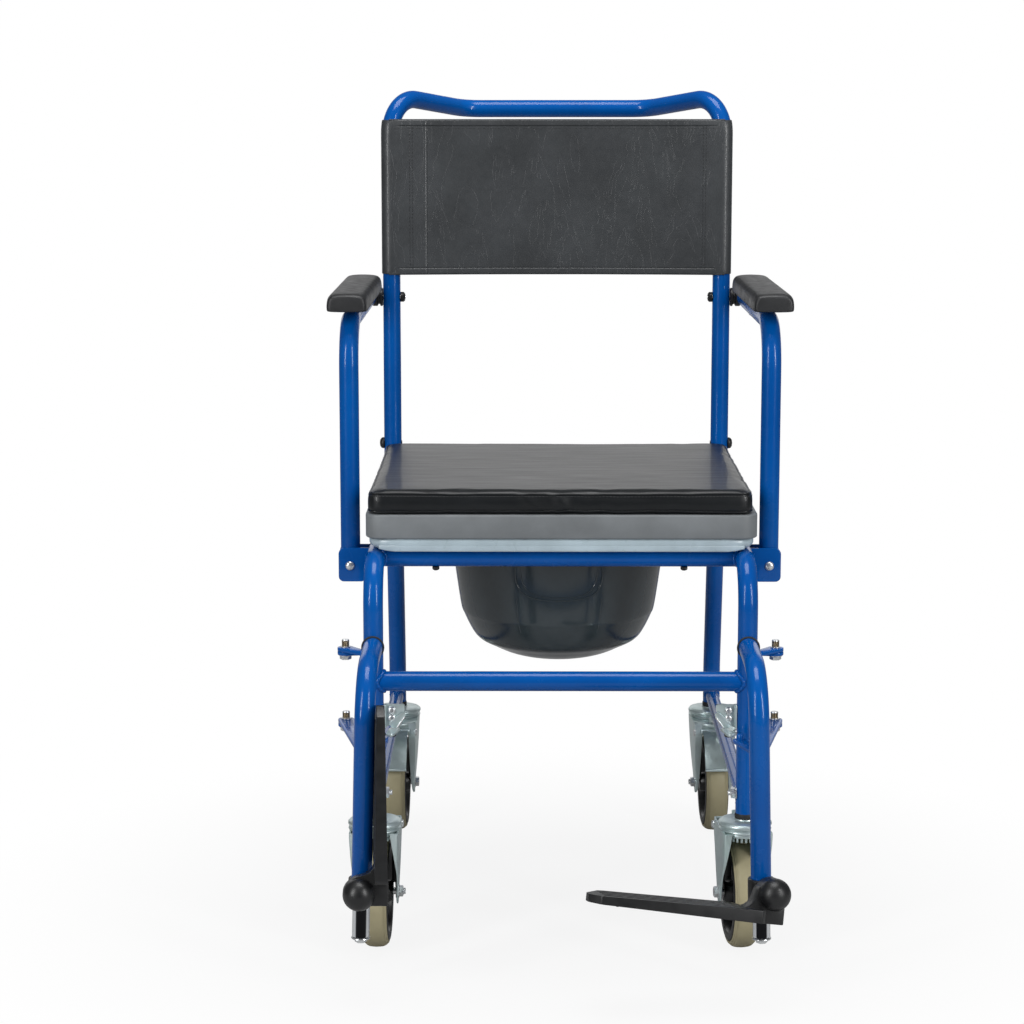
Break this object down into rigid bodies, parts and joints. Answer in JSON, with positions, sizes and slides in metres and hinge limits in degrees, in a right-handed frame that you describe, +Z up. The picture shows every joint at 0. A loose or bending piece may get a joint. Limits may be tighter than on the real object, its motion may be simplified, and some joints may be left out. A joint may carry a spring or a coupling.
{
  "type": "commode wheelchair",
  "caption": "Tubular commode wheelchair with lift-off cushion, slide-out bucket, swing-away footrests, swing-down armrests and braked casters.",
  "frame": {"origin": "on the floor, at the middle of the chair's width and length", "axes": "+Z up, +Y towards the push bar at the back, +X towards the footplate that is down"},
  "size_m": [0.53, 0.7983, 0.9692],
  "materials": {
    "frame_blue": "gloss powder coat",
    "vinyl_black": "grained vinyl",
    "board_grey": "matt",
    "seat_pale": "satin",
    "bucket_dark": "gloss",
    "plastic_black": "matt",
    "zinc": "zinc plated",
    "chrome": "bright",
    "tyre_khaki": "matt"
  },
  "bodies": {
    "chassis": {"side_frame_right": "frame_blue", "side_frame_left": "frame_blue", "lower_rail_right": "frame_blue", "lower_rail_left": "frame_blue", "bucket_rail_right": "plastic_black", "bucket_rail_left": "plastic_black", "seat_crossbar_front": "frame_blue", "seat_crossbar_rear": "frame_blue", "stretcher_front": "frame_blue", "back_frame": "frame_blue", "backrest_cover": "vinyl_black", "commode_seat": "seat_pale", "back_bolt_right": "plastic_black", "back_bolt_left": "plastic_black", "arm_pin_right": "zinc", "arm_pin_left": "zinc", "arm_stud_right": "plastic_black", "arm_stud_left": "plastic_black", "hinge_bolt_upper_right": "zinc", "hinge_bolt_upper_left": "zinc", "hinge_bolt_lower_right": "zinc", "hinge_bolt_lower_left": "zinc", "latch_bracket_right": "zinc", "latch_bracket_left": "zinc"},
    "cushion": {"seat_board": "board_grey", "seat_cushion": "vinyl_black"},
    "bucket": {"bucket": "bucket_dark"},
    "arm_right": {"arm_tube_right": "frame_blue", "arm_pad_right": "plastic_black", "arm_clip_right": "plastic_black"},
    "hanger_right": {"hanger_right": "frame_blue"},
    "foot_right": {"foot_stem_right": "chrome", "foot_hub_right": "plastic_black"},
    "plate_right": {"footplate_right": "plastic_black"},
    "latch_right": {"latch_lever_right": "zinc"},
    "arm_left": {"arm_tube_left": "frame_blue", "arm_pad_left": "plastic_black", "arm_clip_left": "plastic_black"},
    "hanger_left": {"hanger_left": "frame_blue"},
    "foot_left": {"foot_stem_left": "chrome", "foot_hub_left": "plastic_black"},
    "plate_left": {"footplate_left": "plastic_black"},
    "latch_left": {"latch_lever_left": "zinc"},
    "caster_front_right": {"caster_fork_front_right": "zinc"},
    "wheel_front_right": {"caster_wheel_front_right": "plastic_black", "caster_tyre_front_right": "tyre_khaki"},
    "pedal_front_right": {"caster_pedal_front_right": "zinc"},
    "caster_front_left": {"caster_fork_front_left": "zinc"},
    "wheel_front_left": {"caster_wheel_front_left": "plastic_black", "caster_tyre_front_left": "tyre_khaki"},
    "pedal_front_left": {"caster_pedal_front_left": "zinc"},
    "caster_rear_right": {"caster_fork_rear_right": "zinc"},
    "wheel_rear_right": {"caster_wheel_rear_right": "plastic_black", "caster_tyre_rear_right": "tyre_khaki"},
    "pedal_rear_right": {"caster_pedal_rear_right": "zinc"},
    "caster_rear_left": {"caster_fork_rear_left": "zinc"},
    "wheel_rear_left": {"caster_wheel_rear_left": "plastic_black", "caster_tyre_rear_left": "tyre_khaki"},
    "pedal_rear_left": {"caster_pedal_rear_left": "zinc"}
  },
  "joints": [
    {"name": "cushion_lift", "type": "slide", "parent": "chassis", "child": "cushion", "axis": [0, 0, 1], "range_m": [0, 0.15]},
    {"name": "bucket_slide", "type": "slide", "parent": "chassis", "child": "bucket", "axis": [0, 1, 0], "range_m": [0, 0.3]},
    {"name": "arm_swing_right", "type": "hinge", "parent": "chassis", "child": "arm_right", "pos_m": [0.2398, -0.0869, 0.4335], "axis": [0, 1, 0], "range_deg": [0, 165]},
    {"name": "hanger_swing_right", "type": "hinge", "parent": "chassis", "child": "hanger_right", "pos_m": [0.24, -0.1839, 0.3523], "axis": [0, 0, 1], "range_deg": [0, 100]},
    {"name": "foot_height_right", "type": "slide", "parent": "hanger_right", "child": "foot_right", "axis": [-0.0259, 0, 0.9997], "range_m": [-0.03, 0]},
    {"name": "footplate_flip_right", "type": "hinge", "parent": "foot_right", "child": "plate_right", "pos_m": [0.22064, -0.30627, 0.11356], "axis": [-0.1483, 0.9685, -0.1999], "range_deg": [0, 81]},
    {"name": "latch_turn_right", "type": "hinge", "parent": "chassis", "child": "latch_right", "pos_m": [0.182, -0.1819, 0.26], "axis": [0, 0, -1], "range_deg": [0, 20]},
    {"name": "arm_swing_left", "type": "hinge", "parent": "chassis", "child": "arm_left", "pos_m": [-0.2398, -0.0869, 0.4335], "axis": [0, -1, 0], "range_deg": [0, 165]},
    {"name": "hanger_swing_left", "type": "hinge", "parent": "chassis", "child": "hanger_left", "pos_m": [-0.24, -0.1839, 0.3523], "axis": [0, 0, -1], "range_deg": [0, 100]},
    {"name": "foot_height_left", "type": "slide", "parent": "hanger_left", "child": "foot_left", "axis": [0.0259, 0, 0.9997], "range_m": [-0.03, 0]},
    {"name": "footplate_flip_left", "type": "hinge", "parent": "foot_left", "child": "plate_left", "pos_m": [-0.22067, -0.30723, 0.11356], "axis": [-0.0871, 0.9772, -0.1938], "range_deg": [0, 81]},
    {"name": "latch_turn_left", "type": "hinge", "parent": "chassis", "child": "latch_left", "pos_m": [-0.182, -0.1819, 0.26], "axis": [0, 0, 1], "range_deg": [0, 20]},
    {"name": "swivel_front_right", "type": "hinge", "parent": "chassis", "child": "caster_front_right", "pos_m": [0.209, -0.1819, 0.145], "axis": [0, 0, 1], "continuous": true},
    {"name": "roll_front_right", "type": "hinge", "parent": "caster_front_right", "child": "wheel_front_right", "pos_m": [0.2063, -0.15102, 0.0635], "axis": [0.9962, 0.0872, 0], "continuous": true},
    {"name": "brake_front_right", "type": "hinge", "parent": "caster_front_right", "child": "pedal_front_right", "pos_m": [0.20421, -0.12711, 0.1365], "axis": [-0.9962, -0.0872, 0], "range_deg": [0, 5]},
    {"name": "swivel_front_left", "type": "hinge", "parent": "chassis", "child": "caster_front_left", "pos_m": [-0.209, -0.1819, 0.145], "axis": [0, 0, 1], "continuous": true},
    {"name": "roll_front_left", "type": "hinge", "parent": "caster_front_left", "child": "wheel_front_left", "pos_m": [-0.20846, -0.15091, 0.0635], "axis": [0.9998, -0.0175, 0], "continuous": true},
    {"name": "brake_front_left", "type": "hinge", "parent": "caster_front_left", "child": "pedal_front_left", "pos_m": [-0.20804, -0.12691, 0.1365], "axis": [-0.9998, 0.0175, 0], "range_deg": [0, 5]},
    {"name": "swivel_rear_right", "type": "hinge", "parent": "chassis", "child": "caster_rear_right", "pos_m": [0.209, 0.3581, 0.145], "axis": [0, 0, 1], "continuous": true},
    {"name": "roll_rear_right", "type": "hinge", "parent": "caster_rear_right", "child": "wheel_rear_right", "pos_m": [0.21008, 0.32712, 0.0635], "axis": [-0.9994, -0.0349, 0], "continuous": true},
    {"name": "brake_rear_right", "type": "hinge", "parent": "caster_rear_right", "child": "pedal_rear_right", "pos_m": [0.21092, 0.30313, 0.1365], "axis": [0.9994, 0.0349, 0], "range_deg": [0, 5]},
    {"name": "swivel_rear_left", "type": "hinge", "parent": "chassis", "child": "caster_rear_left", "pos_m": [-0.209, 0.3581, 0.145], "axis": [0, 0, 1], "continuous": true},
    {"name": "roll_rear_left", "type": "hinge", "parent": "caster_rear_left", "child": "wheel_rear_left", "pos_m": [-0.20954, 0.3271, 0.0635], "axis": [-0.9998, 0.0175, 0], "continuous": true},
    {"name": "brake_rear_left", "type": "hinge", "parent": "caster_rear_left", "child": "pedal_rear_left", "pos_m": [-0.20996, 0.30311, 0.1365], "axis": [0.9998, -0.0175, 0], "range_deg": [0, 5]}
  ]
}
